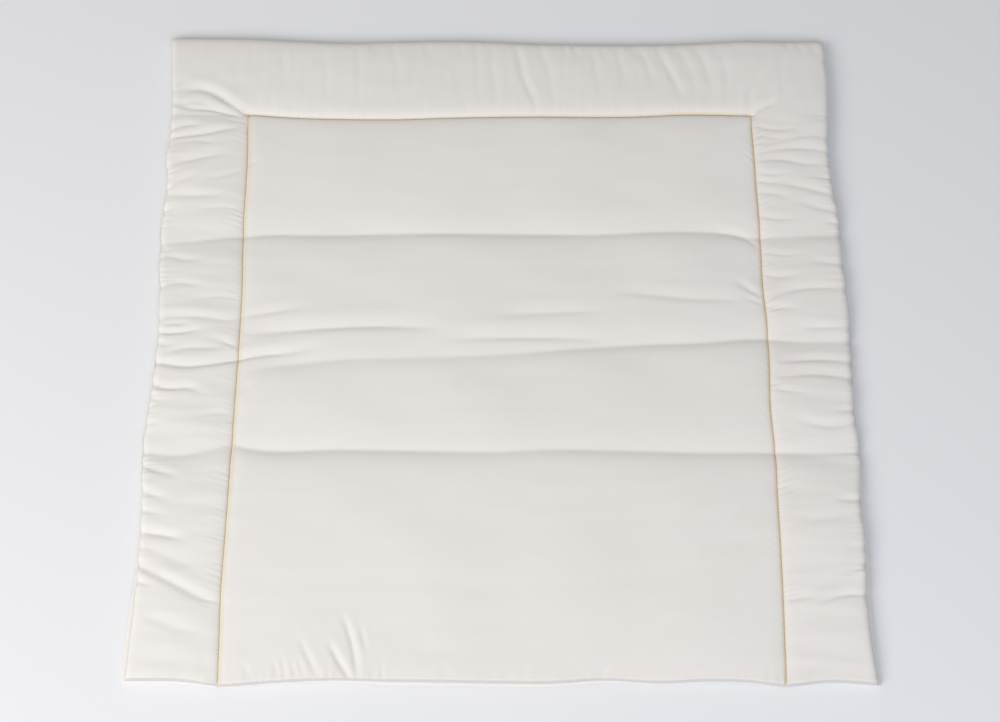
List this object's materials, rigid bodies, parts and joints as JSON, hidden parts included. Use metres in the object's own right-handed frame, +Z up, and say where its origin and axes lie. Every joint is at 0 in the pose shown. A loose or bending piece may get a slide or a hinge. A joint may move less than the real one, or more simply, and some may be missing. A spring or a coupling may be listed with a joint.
{
  "type": "changing mat",
  "caption": "Flat padded changing mat of undyed cotton with a sewn border line, soft cross grooves and a back cloth sewn to its edge.",
  "frame": {"origin": "middle of the outline on the surface that the mat lies on", "axes": "+Z up through the mat's thickness, +Y towards the head end with its sewn border, +X to the right seen from the foot end"},
  "size_m": [0.809, 0.7924, 0.0253],
  "materials": {
    "top_cotton": "matt plain-weave undyed cotton",
    "back_cotton": "matt plain-weave undyed cotton, a shade yellower"
  },
  "bodies": {
    "root": {"mat_pad": "top_cotton", "back_cloth": "back_cotton"}
  },
  "joints": []
}
